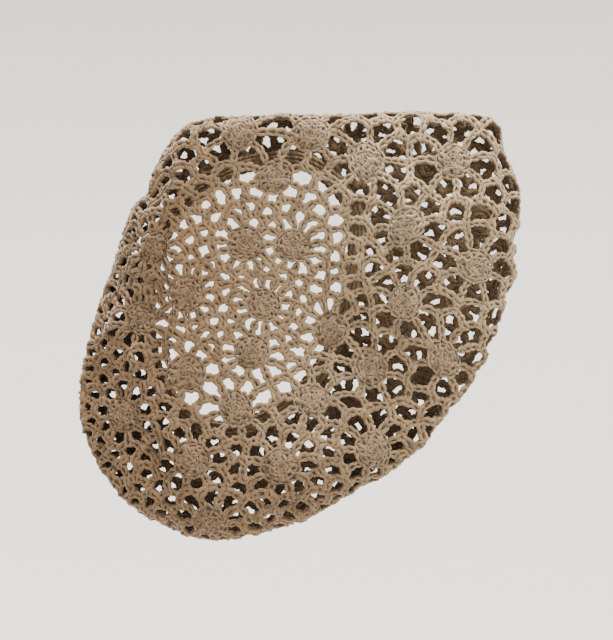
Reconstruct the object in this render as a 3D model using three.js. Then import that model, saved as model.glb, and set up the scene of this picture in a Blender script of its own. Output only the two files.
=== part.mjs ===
import * as THREE from "three";

// A limp openwork crochet beret that hangs by the fold along its top, crown to the front.
// Millimetres: X to the right across the crown, +Y to the back, +Z up.
// The origin is the hang point, on the underside of the top fold.

// Driving dimensions, in millimetres and degrees.
const WALL = 3; // thickness of the crocheted fabric
const CLEARANCE = 0.3; // gap between neighbouring pieces
const ROSETTE_CLEARANCE = 0.4; // gap round a rosette, wider because the fabric bends there
const CELL = 28.5; // spacing of the openings in the net
const ROSETTE_SPACING = 18; // at first, no opening's middle is nearer to a rosette's middle than this
const STRAND = 5; // fabric left between two openings
const ROSETTE_RADIUS = 12;
const ROSETTE_HUB = 6; // radius of the ring round a rosette's middle
const PETAL_RELIEF = { hub: 1.3, ridge: 1.2, groove: 0.3, middle: 0.5 };
const BAND_WIDTH = 11; // dense rounds of crochet round the head opening
const FLAT_FRONT = 13; // how far the flat part of the crown lies in front of the hang point
const SEAM_TURN = 20; // how far round the outline's fold the crown meets the side, in degrees

// Fineness of the surfaces.
const MERIDIANS = 240; // lines from the middle of the crown to the band
const FOLD_STEPS = 14; // steps round half the fold of a meridian
const FLAT_STEPS = 40; // steps along the flat stretch of a meridian
const LOOP_STEPS = 900;
const STEP = 0.004; // share of a turn or run over which the slope of the fabric is taken
const LEAST_RUN = 0.02; // nearer to the middle of the crown the slope round it is taken here
const MOST_SPLITS = 2; // a strand takes at most this many halvings
const HOLE_SIDES = 8;
const ROSETTE_SIDES = 12;
const RELAX_ROUNDS = 14;
const WELD = 2.5; // corners of the net that are closer than this become one
const ON_EDGE = 0.3; // and those this close to a straight stretch of an edge lie on it
const EDGE_STEP = 13; // spacing of the corners along an edge
const LATTICE_ROWS = 8; // rows of openings laid out on each side of the crown's middle
const NEIGHBOUR_REACH = 4 * CELL; // openings further apart than this don't share a strand
const LEAST_OPENING = 70; // area in square millimetres below which a cell stays closed
const CHORD_ERROR = 0.7; // a strand that strays further than this from the surface gets a corner more
const HALVINGS = 30; // halvings that find a place of the picture on a meridian

// Places are read off the picture in pixels (px to the right, py down) and scaled to the real size.
const MM_PER_PX = 0.66;
const HANG_POINT = { px: 300, py: 120 };
const CROWN_MIDDLE = { px: 300, py: 300 };
const HEAD_MIDDLE = { px: 250, py: 292 };
const CREASE = { px: 178, slope: 0.62, soft: 8 }; // left of it the crown leans back

// Outer edge of the hanging beret, clockwise from its top left.
const OUTLINE = [
  { px: 183, py: 127 },
  { px: 205, py: 119 },
  { px: 240, py: 116 },
  { px: 286, py: 114 },
  { px: 340, py: 115 },
  { px: 395, py: 112 },
  { px: 455, py: 114 },
  { px: 485, py: 117 },
  { px: 498, py: 126 },
  { px: 503, py: 150 },
  { px: 514, py: 176 },
  { px: 519, py: 200 },
  { px: 516, py: 236 },
  { px: 516, py: 264 },
  { px: 508, py: 292 },
  { px: 499, py: 324 },
  { px: 484, py: 360 },
  { px: 460, py: 398 },
  { px: 440, py: 420 },
  { px: 421, py: 444 },
  { px: 388, py: 471 },
  { px: 340, py: 500 },
  { px: 302, py: 519 },
  { px: 262, py: 532 },
  { px: 212, py: 540 },
  { px: 170, py: 528 },
  { px: 127, py: 503 },
  { px: 98, py: 468 },
  { px: 81, py: 428 },
  { px: 78, py: 390 },
  { px: 86, py: 345 },
  { px: 100, py: 295 },
  { px: 118, py: 248 },
  { px: 131, py: 209 },
  { px: 147, py: 193 },
  { px: 155, py: 168 },
  { px: 168, py: 145 },
];

// Edge of the head opening, with y its distance behind the hang point in millimetres.
const OPENING = [
  { px: 347, py: 215, y: -4 },
  { px: 345, py: 275, y: -5 },
  { px: 324, py: 350, y: -5 },
  { px: 276, py: 404, y: -2 },
  { px: 215, py: 422, y: 8 },
  { px: 168, py: 385, y: 20 },
  { px: 152, py: 320, y: 26 },
  { px: 160, py: 258, y: 25 },
  { px: 190, py: 204, y: 19 },
  { px: 242, py: 172, y: 14 },
  { px: 305, py: 170, y: 9 },
];

// The fold along the outline, by direction from the middle of the crown (0 right, 90 up).
// fold_y is the depth of the edge itself, front and back are how far in the fold reaches on each side,
// and back_y is the depth that the side settles at behind the fold.
const FOLD = [
  { deg: 0, fold_y: -24, front: 34, back: 20, back_y: -4 },
  { deg: 40, fold_y: -10, front: 22, back: 12, back_y: 6 },
  { deg: 65, fold_y: -2, front: 14, back: 11, back_y: 12 },
  { deg: 90, fold_y: 0, front: 12, back: 11, back_y: 14 },
  { deg: 122, fold_y: 1, front: 12, back: 11, back_y: 15 },
  { deg: 150, fold_y: 14, front: 14, back: 12, back_y: 26 },
  { deg: 180, fold_y: 23, front: 16, back: 13, back_y: 34 },
  { deg: 215, fold_y: 16, front: 20, back: 15, back_y: 30 },
  { deg: 245, fold_y: 4, front: 26, back: 18, back_y: 20 },
  { deg: 275, fold_y: -7, front: 30, back: 20, back_y: 9 },
  { deg: 315, fold_y: -16, front: 30, back: 20, back_y: 1 },
];

// Where the crown swells forward of its flat part; across, down and forward are in millimetres.
const SWELLS = [
  { px: 440, py: 262, across: 100, down: 126, forward: 33 },
  { px: 318, py: 455, across: 122, down: 72, forward: 18 },
];

// Long soft folds in the crown, from one place to another; width and height in millimetres.
const SOFT_FOLDS = [
  { from: { px: 184, py: 140 }, to: { px: 172, py: 425 }, width: 11, height: 3 },
  { from: { px: 345, py: 140 }, to: { px: 322, py: 345 }, width: 15, height: -2.5 },
  { from: { px: 205, py: 235 }, to: { px: 300, py: 420 }, width: 18, height: 2.5 },
  { from: { px: 395, py: 190 }, to: { px: 440, py: 400 }, width: 17, height: 3 },
  { from: { px: 120, py: 330 }, to: { px: 205, py: 500 }, width: 16, height: 3 },
];

// Middles of the rosettes of the crown and of the side behind it.
const CROWN_ROSETTES = [
  { px: 293, py: 246 },
  { px: 246, py: 244 },
  { px: 331, py: 329 },
  { px: 264, py: 305 },
  { px: 404, py: 229 },
  { px: 404, py: 302 },
  { px: 366, py: 162 },
  { px: 451, py: 163 },
  { px: 472, py: 267 },
  { px: 442, py: 358 },
  { px: 369, py: 367 },
  { px: 372, py: 449 },
  { px: 311, py: 399 },
  { px: 252, py: 352 },
  { px: 237, py: 408 },
  { px: 281, py: 464 },
  { px: 187, py: 373 },
  { px: 193, py: 458 },
  { px: 187, py: 294 },
  { px: 275, py: 178 },
  { px: 311, py: 134 },
  { px: 239, py: 132 },
  { px: 155, py: 247 },
  { px: 143, py: 318 },
  { px: 211, py: 520 },
  { px: 125, py: 415 },
];
const SIDE_ROSETTES = [
  { px: 428, py: 168 },
  { px: 405, py: 238 },
  { px: 480, py: 222 },
  { px: 398, py: 318 },
  { px: 458, py: 298 },
  { px: 420, py: 380 },
  { px: 345, py: 408 },
  { px: 350, py: 464 },
  { px: 268, py: 478 },
  { px: 196, py: 492 },
  { px: 132, py: 446 },
];

const YARN = new THREE.Color("#b2987d");
const BAND_YARN = new THREE.Color("#a88e73");
const ROSETTE_YARN = new THREE.Color("#bba48a");
const YARN_FINISH = { roughness: 0.9, metalness: 0 };

const RIGHT_ANGLE = Math.PI / 2;
const FULL_TURN = Math.PI * 2;

function placeOf(row) {
  const x = (row.px - HANG_POINT.px) * MM_PER_PX;
  const z = (HANG_POINT.py - row.py) * MM_PER_PX;
  return new THREE.Vector3(x, row.y ?? 0, z);
}

function direction(angle) {
  return new THREE.Vector3(Math.cos(angle), 0, Math.sin(angle));
}

// A smooth closed curve through the rows of a table.
function closedLoop(rows) {
  return new THREE.CatmullRomCurve3(rows.map(placeOf), true).getSpacedPoints(LOOP_STEPS);
}

// Where a ray from a middle, at an angle in the X-Z plane, crosses a closed loop.
function crossLoop(loop, middle, angle) {
  const ray = direction(angle);
  const sideOf = (p) => ray.x * (p.z - middle.z) - ray.z * (p.x - middle.x);
  for (let i = 0; i + 1 < loop.length; i++) {
    const before = sideOf(loop[i]);
    const after = sideOf(loop[i + 1]);
    if (before * after > 0) continue;
    const hit = loop[i].clone().lerp(loop[i + 1], before / (before - after));
    if ((hit.x - middle.x) * ray.x + (hit.z - middle.z) * ray.z > 0) return hit;
  }
  throw new Error("the loop does not surround its middle");
}

// A column of the FOLD table at any direction, eased from row to row.
function foldAt(column, angle) {
  const deg = THREE.MathUtils.euclideanModulo(THREE.MathUtils.radToDeg(angle), 360);
  const last = FOLD.length - 1;
  const i = FOLD.findLastIndex((row) => row.deg <= deg);
  const row = FOLD[i];
  const next = i < last ? FOLD[i + 1] : { ...FOLD[0], deg: 360 };
  const ease = THREE.MathUtils.smoothstep(deg, row.deg, next.deg);
  return THREE.MathUtils.lerp(row[column], next[column], ease);
}

function bell(squared) {
  return squared < 1 ? (1 - squared) ** 2 : 0;
}

// Distance squared from a point to a soft fold's line, in widths of the fold.
function foldDistance(fold, x, z) {
  const from = placeOf(fold.from);
  const along = placeOf(fold.to).sub(from);
  const at = new THREE.Vector3(x, 0, z).sub(from);
  const share = THREE.MathUtils.clamp(at.dot(along) / along.lengthSq(), 0, 1);
  return at.sub(along.multiplyScalar(share)).lengthSq() / fold.width ** 2;
}

// Depth of the crown away from its edge.
function crownY(x, z) {
  let y = -FLAT_FRONT;
  for (const swell of SWELLS) {
    const middle = placeOf(swell);
    const across = (x - middle.x) / swell.across;
    const down = (z - middle.z) / swell.down;
    y -= swell.forward * bell(across ** 2 + down ** 2);
  }
  for (const fold of SOFT_FOLDS) {
    y -= fold.height * bell(foldDistance(fold, x, z));
  }
  const past = Math.max(0, placeOf({ px: CREASE.px, py: 0 }).x - x);
  return y + (CREASE.slope * past * past) / (past + CREASE.soft);
}

const crownMiddle = placeOf(CROWN_MIDDLE);
const headMiddle = placeOf(HEAD_MIDDLE);
const outlineLoop = closedLoop(OUTLINE);
const openingLoop = closedLoop(OPENING);

// One line over the fabric, from the middle of the crown round the fold to the edge of the opening.
// Each point keeps its length along the line, and marks say where the pieces start and end.
function meridian(angle) {
  const ray = direction(angle);
  const outer = crossLoop(outlineLoop, crownMiddle, angle);
  const edge = outer.clone().addScaledVector(ray, -WALL / 2);
  const opening = crossLoop(openingLoop, headMiddle, angle);
  const bandEdge = opening.clone().addScaledVector(ray, BAND_WIDTH);
  const inward = new THREE.Vector3(bandEdge.x - edge.x, 0, bandEdge.z - edge.z);
  const width = inward.length();
  inward.normalize();
  const reach = edge.distanceTo(new THREE.Vector3(crownMiddle.x, 0, crownMiddle.z));
  const foldY = foldAt("fold_y", angle);
  const front = foldAt("front", angle);
  const back = foldAt("back", angle);
  const backY = foldAt("back_y", angle);

  const points = [];
  const add = (x, y, z) => points.push(new THREE.Vector3(x, y, z));
  const crownPoint = (fromEdge, turn) => {
    const x = edge.x - ray.x * fromEdge;
    const z = edge.z - ray.z * fromEdge;
    add(x, foldY - (foldY - crownY(x, z)) * turn, z);
  };
  const sidePoint = (fromEdge, turn) => {
    const ease = THREE.MathUtils.smoothstep(fromEdge / width, 0, 1);
    const settled = THREE.MathUtils.lerp(backY, opening.y, ease);
    add(edge.x + inward.x * fromEdge, foldY + (settled - foldY) * turn, edge.z + inward.z * fromEdge);
  };
  for (let i = 0; i < FLAT_STEPS; i++) {
    crownPoint(THREE.MathUtils.lerp(reach, front, i / FLAT_STEPS), 1);
  }
  for (let i = FOLD_STEPS; i >= 0; i--) {
    const turn = (RIGHT_ANGLE * i) / FOLD_STEPS;
    crownPoint(front * (1 - Math.cos(turn)), Math.sin(turn));
  }
  for (let i = 1; i <= FOLD_STEPS; i++) {
    const turn = (RIGHT_ANGLE * i) / FOLD_STEPS;
    sidePoint(back * (1 - Math.cos(turn)), Math.sin(turn));
  }
  for (let i = 1; i <= FLAT_STEPS; i++) {
    sidePoint(THREE.MathUtils.lerp(back, width, i / FLAT_STEPS), 1);
  }
  add(opening.x, opening.y, opening.z);

  const lengths = [0];
  for (let i = 1; i < points.length; i++) {
    lengths.push(lengths[i - 1] + points[i].distanceTo(points[i - 1]));
  }
  const seamStep = FLAT_STEPS + FOLD_STEPS + (FOLD_STEPS * SEAM_TURN) / 90;
  const seamIndex = Math.floor(seamStep);
  const marks = {
    seam: THREE.MathUtils.lerp(lengths[seamIndex], lengths[seamIndex + 1], seamStep - seamIndex),
    bandEdge: lengths[lengths.length - 2],
    opening: lengths[lengths.length - 1],
  };
  return { points, lengths, marks, ray, inward, bandEdge };
}

const meridians = [];
for (let k = 0; k < MERIDIANS; k++) {
  meridians.push(meridian((FULL_TURN * k) / MERIDIANS));
}

function alongMeridian(line, length) {
  const last = line.lengths.length - 1;
  let i = line.lengths.findIndex((reached) => reached >= length);
  i = THREE.MathUtils.clamp(i < 0 ? last : i, 1, last);
  const share = (length - line.lengths[i - 1]) / (line.lengths[i] - line.lengths[i - 1]);
  return line.points[i - 1].clone().lerp(line.points[i], share);
}

// The stretches of a meridian that each piece of fabric takes.
const STRETCHES = {
  crown: (marks) => [0, marks.seam],
  side: (marks) => [marks.seam + CLEARANCE, marks.bandEdge - CLEARANCE],
  band: (marks) => [marks.bandEdge, marks.opening],
};

// A piece of fabric: turn is the direction as a share of a full turn, run goes from 0 to 1 along its stretch.
// plane gives the same places spread flat, where the net is laid out.
class Fabric {
  constructor(name) {
    this.stretch = STRETCHES[name];
    this.isCrown = name === "crown";
    this.rays = meridians.map((line) => {
      const [start, end] = this.stretch(line.marks);
      if (this.isCrown) {
        return { start: crownMiddle.clone(), end: crownMiddle.clone().addScaledVector(line.ray, end) };
      }
      const inner = line.bandEdge.clone().setY(0).addScaledVector(line.inward, -CLEARANCE);
      return { start: inner, end: inner.clone().addScaledVector(line.inward, start - end) };
    });
  }

  blend(turn, pick) {
    const place = THREE.MathUtils.euclideanModulo(turn, 1) * MERIDIANS;
    const k = Math.floor(place) % MERIDIANS;
    const next = (k + 1) % MERIDIANS;
    return pick(k).lerp(pick(next), place - Math.floor(place));
  }

  point(turn, run) {
    return this.blend(turn, (k) => {
      const [start, end] = this.stretch(meridians[k].marks);
      return alongMeridian(meridians[k], THREE.MathUtils.lerp(start, end, run));
    });
  }

  // The side of the fabric from which the plane is seen: the outside of the crown, the inside of the rest.
  normal(turn, run) {
    const away = Math.max(run, LEAST_RUN);
    const round = this.point(turn + STEP, away).sub(this.point(turn - STEP, away));
    const out = this.point(turn, Math.min(1, run + STEP)).sub(this.point(turn, Math.max(0, run - STEP)));
    const normal = out.cross(round).normalize();
    return this.isCrown ? normal : normal.negate();
  }

  plane(turn, run) {
    const share = this.isCrown ? run : 1 - run;
    return this.blend(turn, (k) => this.rays[k].start.clone().lerp(this.rays[k].end, share));
  }

  // The turn and run of a place in the plane.
  locate(place) {
    const sideOf = (ray) => {
      const alongX = ray.end.x - ray.start.x;
      const alongZ = ray.end.z - ray.start.z;
      return alongX * (place.z - ray.start.z) - alongZ * (place.x - ray.start.x);
    };
    const nearest = this.nearestRay(place);
    const k = sideOf(this.rays[nearest]) >= 0 ? nearest : (nearest + MERIDIANS - 1) % MERIDIANS;
    const ray = this.rays[k];
    const next = this.rays[(k + 1) % MERIDIANS];
    const before = sideOf(ray);
    const share = THREE.MathUtils.clamp(before / (before - sideOf(next) || 1), 0, 1);
    const start = ray.start.clone().lerp(next.start, share);
    const along = ray.end.clone().lerp(next.end, share).sub(start);
    const run = THREE.MathUtils.clamp(place.clone().sub(start).dot(along) / along.lengthSq(), 0, 1);
    return { turn: (k + share) / MERIDIANS, run: this.isCrown ? run : 1 - run };
  }

  nearestRay(place) {
    let best = 0;
    let least = Infinity;
    const line = new THREE.Line3();
    const foot = new THREE.Vector3();
    this.rays.forEach((ray, k) => {
      line.set(ray.start, ray.end).closestPointToPoint(place, true, foot);
      const away = foot.distanceToSquared(place);
      if (away < least) {
        least = away;
        best = k;
      }
    });
    return best;
  }
}

// The edge of a piece at a given run: corners at equal steps, shared with the piece that it meets there.
function edgeOf(fabric, run, turns) {
  return turns.map((turn) => ({ flat: fabric.plane(turn, run), turn, run }));
}

function evenTurns(fabric, run, step) {
  const reached = [0];
  for (let k = 0; k < MERIDIANS; k++) {
    const length = fabric.plane(k / MERIDIANS, run).distanceTo(fabric.plane((k + 1) / MERIDIANS, run));
    reached.push(reached[k] + length);
  }
  const total = reached[MERIDIANS];
  const count = Math.round(total / step);
  return Array.from({ length: count }, (unused, i) => {
    const wanted = (total * i) / count;
    const k = reached.findLastIndex((value) => value <= wanted);
    return (k + (wanted - reached[k]) / (reached[k + 1] - reached[k])) / MERIDIANS;
  });
}

// Keeps the part of a flat polygon where a value, linear over the plane, is not above zero.
function clip(polygon, valueAt) {
  const kept = [];
  polygon.forEach((p, i) => {
    const q = polygon[(i + 1) % polygon.length];
    const atP = valueAt(p);
    const atQ = valueAt(q);
    if (atP <= 0) kept.push(p);
    if (atP < 0 !== atQ < 0 && atP !== 0 && atQ !== 0) kept.push(p.clone().lerp(q, atP / (atP - atQ)));
  });
  return kept;
}

// The part of a piece's outline that is nearer to one seed than to any other, by power distance.
function cellOf(seed, seeds, outline, hole) {
  let polygon = outline;
  for (const other of seeds) {
    const apart = other.at.clone().sub(seed.at);
    const distance = apart.length();
    if (other === seed || distance > NEIGHBOUR_REACH) continue;
    const cut = (distance ** 2 + seed.radius ** 2 - other.radius ** 2) / (2 * distance);
    apart.divideScalar(distance);
    polygon = clip(polygon, (p) => p.clone().sub(seed.at).dot(apart) - cut);
  }
  return hole ? withoutHole(polygon, hole) : polygon;
}

function insidePolygon(place, polygon) {
  let inside = false;
  polygon.forEach((p, i) => {
    const q = polygon[(i + 1) % polygon.length];
    const crosses = p.z > place.z !== q.z > place.z;
    if (crosses && place.x < p.x + ((q.x - p.x) * (place.z - p.z)) / (q.z - p.z)) inside = !inside;
  });
  return inside;
}

// Where the side from p to q crosses the loop, in order from p.
function crossings(p, q, loop) {
  const found = [];
  loop.forEach((a, at) => {
    const b = loop[(at + 1) % loop.length];
    const bend = (q.x - p.x) * (b.z - a.z) - (q.z - p.z) * (b.x - a.x);
    if (!bend) return;
    const share = ((a.x - p.x) * (b.z - a.z) - (a.z - p.z) * (b.x - a.x)) / bend;
    const along = ((a.x - p.x) * (q.z - p.z) - (a.z - p.z) * (q.x - p.x)) / bend;
    if (share <= 0 || share >= 1 || along < 0 || along >= 1) return;
    found.push({ share, at, place: p.clone().lerp(q, share) });
  });
  return found.sort((m, n) => m.share - n.share);
}

// Cuts the head opening out of a cell that reaches over its edge.
function withoutHole(polygon, hole) {
  const kept = [];
  let entered = null;
  const start = polygon.findIndex((p) => !insidePolygon(p, hole));
  if (start < 0) return [];
  polygon.forEach((unused, step) => {
    const p = polygon[(start + step) % polygon.length];
    const q = polygon[(start + step + 1) % polygon.length];
    if (!entered) kept.push(p);
    for (const crossing of crossings(p, q, hole)) {
      let at = entered?.at ?? crossing.at;
      while (at !== crossing.at) {
        kept.push(hole[at]);
        at = (at + hole.length - 1) % hole.length;
      }
      kept.push(crossing.place);
      entered = entered ? null : crossing;
    }
  });
  return kept;
}

function areaOf(polygon) {
  return polygon.reduce((sum, p, i) => {
    const q = polygon[(i + 1) % polygon.length];
    return sum + (p.x * q.z - q.x * p.z) / 2;
  }, 0);
}

function centroid(polygon) {
  let area = 0;
  const sum = new THREE.Vector3();
  polygon.forEach((p, i) => {
    const q = polygon[(i + 1) % polygon.length];
    const cross = p.x * q.z - q.x * p.z;
    area += cross;
    sum.addScaledVector(p.clone().add(q), cross);
  });
  return sum.divideScalar(3 * area);
}

// The cells of a piece's net: rosettes stay put, and the openings settle evenly between them.
function layOut(rosettes, outline, hole) {
  const free = [];
  const rowHeight = CELL * Math.sin(Math.PI / 3);
  for (let row = -LATTICE_ROWS; row <= LATTICE_ROWS; row++) {
    for (let column = -LATTICE_ROWS; column <= LATTICE_ROWS; column++) {
      const across = (column + (row % 2 ? 0.5 : 0)) * CELL;
      const at = new THREE.Vector3(crownMiddle.x + across, 0, crownMiddle.z + row * rowHeight);
      const inside = insidePolygon(at, outline) && !(hole && insidePolygon(at, hole));
      const clear = rosettes.every((seed) => seed.at.distanceTo(at) > ROSETTE_SPACING);
      if (inside && clear) free.push({ at, radius: 0 });
    }
  }
  const seeds = [...rosettes, ...free];
  for (let round = 0; round < RELAX_ROUNDS; round++) {
    const settled = free.map((seed) => centroid(cellOf(seed, seeds, outline, hole)));
    free.forEach((seed, i) => seed.at.copy(settled[i]));
  }
  return seeds.map((seed) => ({ seed, polygon: cellOf(seed, seeds, outline, hole) }));
}

// Moves each side of a polygon inwards.
function inset(polygon, distance) {
  return polygon.reduce((kept, p, i) => {
    const q = polygon[(i + 1) % polygon.length];
    const inward = new THREE.Vector3(p.z - q.z, 0, q.x - p.x).normalize();
    return clip(kept, (at) => distance - at.clone().sub(p).dot(inward));
  }, polygon);
}

// A solid built point by point: each place on the fabric gives one corner on each face of the wall.
class SolidBuilder {
  constructor() {
    this.positions = [];
    this.indices = [];
  }

  add(point) {
    this.positions.push(point.x, point.y, point.z);
    return this.positions.length / 3 - 1;
  }

  face(a, b, c) {
    this.indices.push(a, b, c);
  }

  // A strip of wall between two corner pairs, facing the right-hand side of the way from a to b.
  wall(a, b) {
    this.face(a.under, b.under, b.over);
    this.face(a.under, b.over, a.over);
  }

  geometry() {
    const geometry = new THREE.BufferGeometry();
    geometry.setAttribute("position", new THREE.Float32BufferAttribute(this.positions, 3));
    geometry.setIndex(this.indices);
    geometry.computeVertexNormals();
    return geometry;
  }
}

function wallPoints(fabric, turn, run) {
  const point = fabric.point(turn, run);
  const half = fabric.normal(turn, run).multiplyScalar(WALL / 2);
  return { overPoint: point.clone().add(half), underPoint: point.clone().sub(half) };
}

function cornerAt(builder, overPoint, underPoint) {
  return { overPoint, underPoint, over: builder.add(overPoint), under: builder.add(underPoint) };
}

function wallCorner(builder, fabric, turn, run) {
  const { overPoint, underPoint } = wallPoints(fabric, turn, run);
  return cornerAt(builder, overPoint, underPoint);
}

function angleAbout(middle, place) {
  return Math.atan2(place.z - middle.z, place.x - middle.x);
}

// Triangles between an outer loop and an inner loop that both run counterclockwise round a middle.
function bridge(builder, outer, inner, middle) {
  const angleOf = (corner) => angleAbout(middle, corner.flat);
  const start = angleOf(outer[0]);
  const after = (corner) => THREE.MathUtils.euclideanModulo(angleOf(corner) - start, FULL_TURN);
  const outerAngles = outer.map(after);
  outerAngles[0] = 0;
  outerAngles.push(FULL_TURN);
  const sorted = inner.map((corner) => ({ corner, angle: after(corner) })).sort((a, b) => a.angle - b.angle);
  const last = sorted[sorted.length - 1];
  const ring = [{ corner: last.corner, angle: last.angle - FULL_TURN }, ...sorted];
  let i = 0;
  let j = 0;
  while (i < outer.length || j < ring.length - 1) {
    const nextOuter = i < outer.length ? outerAngles[i + 1] : Infinity;
    const nextInner = j < ring.length - 1 ? ring[j + 1].angle : Infinity;
    const a = outer[i % outer.length];
    const c = ring[j].corner;
    const b = nextOuter <= nextInner ? outer[(i + 1) % outer.length] : ring[j + 1].corner;
    builder.face(a.over, b.over, c.over);
    builder.face(a.under, c.under, b.under);
    if (nextOuter <= nextInner) i++;
    else j++;
  }
}

// The net of one piece of fabric: each cell is a ring of fabric round an opening or a rosette.
function netGeometry(fabric, cells, edges) {
  const builder = new SolidBuilder();
  const corners = edges.flatMap((edge) => edge.map((node, at) => ({ ...node, edge, at })));
  corners.forEach((corner) => Object.assign(corner, wallCorner(builder, fabric, corner.turn, corner.run)));
  const nodes = [...corners];
  const nodeOf = (edge, at) => nodes.find((node) => node.edge === edge && node.at === at % edge.length);

  // A corner on the straight stretch between two corners of an edge.
  const cornerOnEdge = (place) => {
    const foot = new THREE.Vector3();
    for (const a of nodes) {
      const b = nodeOf(a.edge, a.at + 1);
      const line = new THREE.Line3(a.flat, b.flat);
      const share = line.closestPointToPointParameter(place, true);
      if (line.at(share, foot).distanceTo(place) > ON_EDGE) continue;
      const overPoint = a.overPoint.clone().lerp(b.overPoint, share);
      const underPoint = a.underPoint.clone().lerp(b.underPoint, share);
      return { flat: place, edge: a.edge, at: a.at + share, ...cornerAt(builder, overPoint, underPoint) };
    }
    return null;
  };
  const cornerFor = (place) => {
    const known = corners.find((corner) => corner.flat.distanceTo(place) < WELD);
    if (known) return known;
    const found = cornerOnEdge(place) ?? inFabric(place);
    corners.push(found);
    return found;
  };
  const inFabric = (flat) => {
    const { turn, run } = fabric.locate(flat);
    return { flat, ...wallCorner(builder, fabric, turn, run) };
  };
  const loops = cells.map((cell) => {
    const loop = cell.polygon.map(cornerFor);
    return loop.filter((corner, i) => corner !== loop[(i + 1) % loop.length]);
  });

  const between = new Map();
  const keyOf = (a, b) => [corners.indexOf(a), corners.indexOf(b)].sort((m, n) => m - n).join();
  const cornersBetween = (a, b) => {
    const turned = corners.indexOf(a) > corners.indexOf(b);
    const key = keyOf(a, b);
    if (!between.has(key)) between.set(key, turned ? split(b, a, 0) : split(a, b, 0));
    return turned ? [...between.get(key)].reverse() : between.get(key);
  };
  const alongEdge = (a, b) => {
    if (!a.edge || a.edge !== b.edge) return false;
    const steps = Math.abs(a.at - b.at);
    return Math.min(steps, a.edge.length - steps) <= 1;
  };
  // Corners that keep a strand on the curved surface.
  const split = (a, b, depth) => {
    if (depth === MOST_SPLITS || alongEdge(a, b)) return [];
    const flat = a.flat.clone().lerp(b.flat, 0.5);
    const { turn, run } = fabric.locate(flat);
    const chord = a.overPoint.clone().add(a.underPoint).add(b.overPoint).add(b.underPoint).divideScalar(4);
    if (fabric.point(turn, run).distanceTo(chord) < CHORD_ERROR) return [];
    const middle = inFabric(flat);
    return [...split(a, middle, depth + 1), middle, ...split(middle, b, depth + 1)];
  };

  const sides = new Map();
  cells.forEach((cell, index) => {
    const loop = loops[index].flatMap((corner, i) => {
      const next = loops[index][(i + 1) % loops[index].length];
      const run = [corner, ...cornersBetween(corner, next)];
      const key = keyOf(corner, next);
      sides.set(key, { run: [...run, next], shared: sides.has(key) });
      return run;
    });
    const opening = openingLoopOf(cell, loops[index].map((corner) => corner.flat));
    if (!opening.places) {
      closeCell(builder, fabric, loop, opening.middle);
      return;
    }
    const inner = opening.places.map(inFabric);
    bridge(builder, loop, inner, opening.middle);
    inner.forEach((corner, i) => builder.wall(inner[(i + 1) % inner.length], corner));
  });
  for (const { run, shared } of sides.values()) {
    if (shared) continue;
    for (let i = 0; i + 1 < run.length; i++) builder.wall(run[i], run[i + 1]);
  }
  return builder.geometry();
}

// A cell too small for an opening is a plain patch of fabric.
function closeCell(builder, fabric, loop, middle) {
  const { turn, run } = fabric.locate(middle);
  const hub = wallCorner(builder, fabric, turn, run);
  loop.forEach((corner, i) => {
    const next = loop[(i + 1) % loop.length];
    builder.face(hub.over, corner.over, next.over);
    builder.face(hub.under, next.under, corner.under);
  });
}

function circle(middle, radius, sides) {
  const places = [];
  for (let i = 0; i < sides; i++) {
    places.push(middle.clone().addScaledVector(direction((FULL_TURN * i) / sides), radius));
  }
  return places;
}

// The opening in a cell: round for a rosette, otherwise rounded corners inside the strands.
function openingLoopOf(cell, polygon) {
  if (cell.seed.radius) {
    const middle = cell.seed.at;
    return { middle, places: circle(middle, ROSETTE_RADIUS, ROSETTE_SIDES) };
  }
  const clear = inset(polygon, STRAND / 2);
  if (clear.length < 3 || areaOf(clear) < LEAST_OPENING) {
    return { middle: centroid(polygon) };
  }
  const middle = centroid(clear);
  const places = [];
  for (let i = 0; i < HOLE_SIDES; i++) {
    const ray = direction((FULL_TURN * (i + 0.5)) / HOLE_SIDES);
    let reach = Infinity;
    clear.forEach((p, j) => {
      const q = clear[(j + 1) % clear.length];
      const outward = new THREE.Vector3(q.z - p.z, 0, p.x - q.x).normalize();
      const towards = ray.dot(outward);
      if (towards > 0) reach = Math.min(reach, p.clone().sub(middle).dot(outward) / towards);
    });
    places.push(middle.clone().addScaledVector(ray, reach));
  }
  return { middle, places };
}

// A rosette: a round piece in its own opening, with raised petals round a raised hub on the outside.
function rosetteGeometry(fabric, middle) {
  const builder = new SolidBuilder();
  const outside = fabric.isCrown ? 1 : -1;
  const lift = (flat, height) => {
    const { turn, run } = fabric.locate(flat);
    const normal = fabric.normal(turn, run).multiplyScalar(outside);
    return builder.add(fabric.point(turn, run).addScaledVector(normal, height));
  };
  const face = (a, b, c) => (outside > 0 ? builder.face(a, b, c) : builder.face(a, c, b));
  const half = WALL / 2;
  const rim = circle(middle, ROSETTE_RADIUS - ROSETTE_CLEARANCE, ROSETTE_SIDES);
  const petal = (i) => (i % 2 ? PETAL_RELIEF.groove : PETAL_RELIEF.ridge);
  const top = lift(middle, half + PETAL_RELIEF.middle);
  const bottom = lift(middle, -half);
  const hub = circle(middle, ROSETTE_HUB, ROSETTE_SIDES).map((flat) => lift(flat, half + PETAL_RELIEF.hub));
  const over = rim.map((flat, i) => lift(flat, half + petal(i)));
  const under = rim.map((flat) => lift(flat, -half));
  for (let i = 0; i < ROSETTE_SIDES; i++) {
    const j = (i + 1) % ROSETTE_SIDES;
    face(top, hub[i], hub[j]);
    face(hub[i], over[i], over[j]);
    face(hub[i], over[j], hub[j]);
    face(over[i], under[i], under[j]);
    face(over[i], under[j], over[j]);
    face(bottom, under[j], under[i]);
  }
  return builder.geometry();
}

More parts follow.
